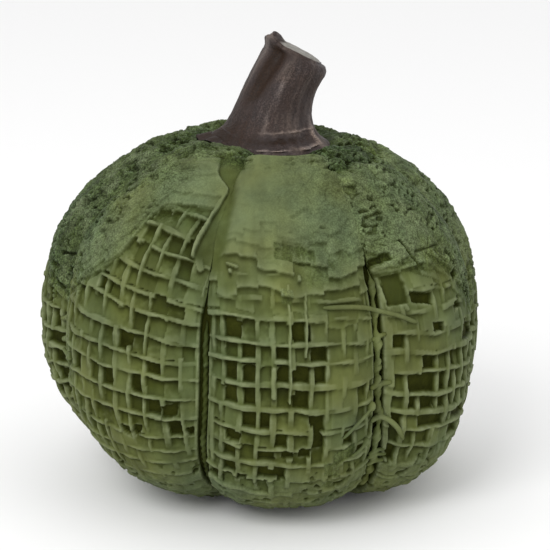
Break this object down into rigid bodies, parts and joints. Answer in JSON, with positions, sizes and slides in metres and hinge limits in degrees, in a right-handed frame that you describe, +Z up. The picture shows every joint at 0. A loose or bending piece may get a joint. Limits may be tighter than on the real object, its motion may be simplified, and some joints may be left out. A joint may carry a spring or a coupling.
{
  "type": "ceramic pumpkin figure",
  "caption": "Free-standing lobed ceramic pumpkin with a coarse open net over its lobes and a slanted, flared stem.",
  "frame": {"origin": "middle of the figure's box, on the floor that its felt pads stand on", "axes": "+Z up, -Y towards the front lobe, +X to the side that the stem leans to"},
  "size_m": [0.1146, 0.1134, 0.1182],
  "materials": {
    "core_ceramic": "matte",
    "net_ceramic": "satin",
    "stem_ceramic": "satin",
    "bedding_cement": "matte",
    "pad_felt": "matte"
  },
  "bodies": {
    "root": {"body_core": "core_ceramic", "weave_panel_1": "net_ceramic", "weave_panel_2": "net_ceramic", "weave_panel_3": "net_ceramic", "weave_panel_4": "net_ceramic", "weave_panel_5": "net_ceramic", "weave_panel_6": "net_ceramic", "weave_panel_7": "net_ceramic", "seam_strand_1": "net_ceramic", "seam_strand_2": "net_ceramic", "seam_strand_3": "net_ceramic", "seam_strand_4": "net_ceramic", "seam_strand_5": "net_ceramic", "seam_strand_6": "net_ceramic", "seam_strand_7": "net_ceramic", "stem": "stem_ceramic", "stem_bedding": "bedding_cement", "felt_pad_1": "pad_felt", "felt_pad_2": "pad_felt", "felt_pad_3": "pad_felt", "felt_pad_4": "pad_felt"}
  },
  "joints": []
}
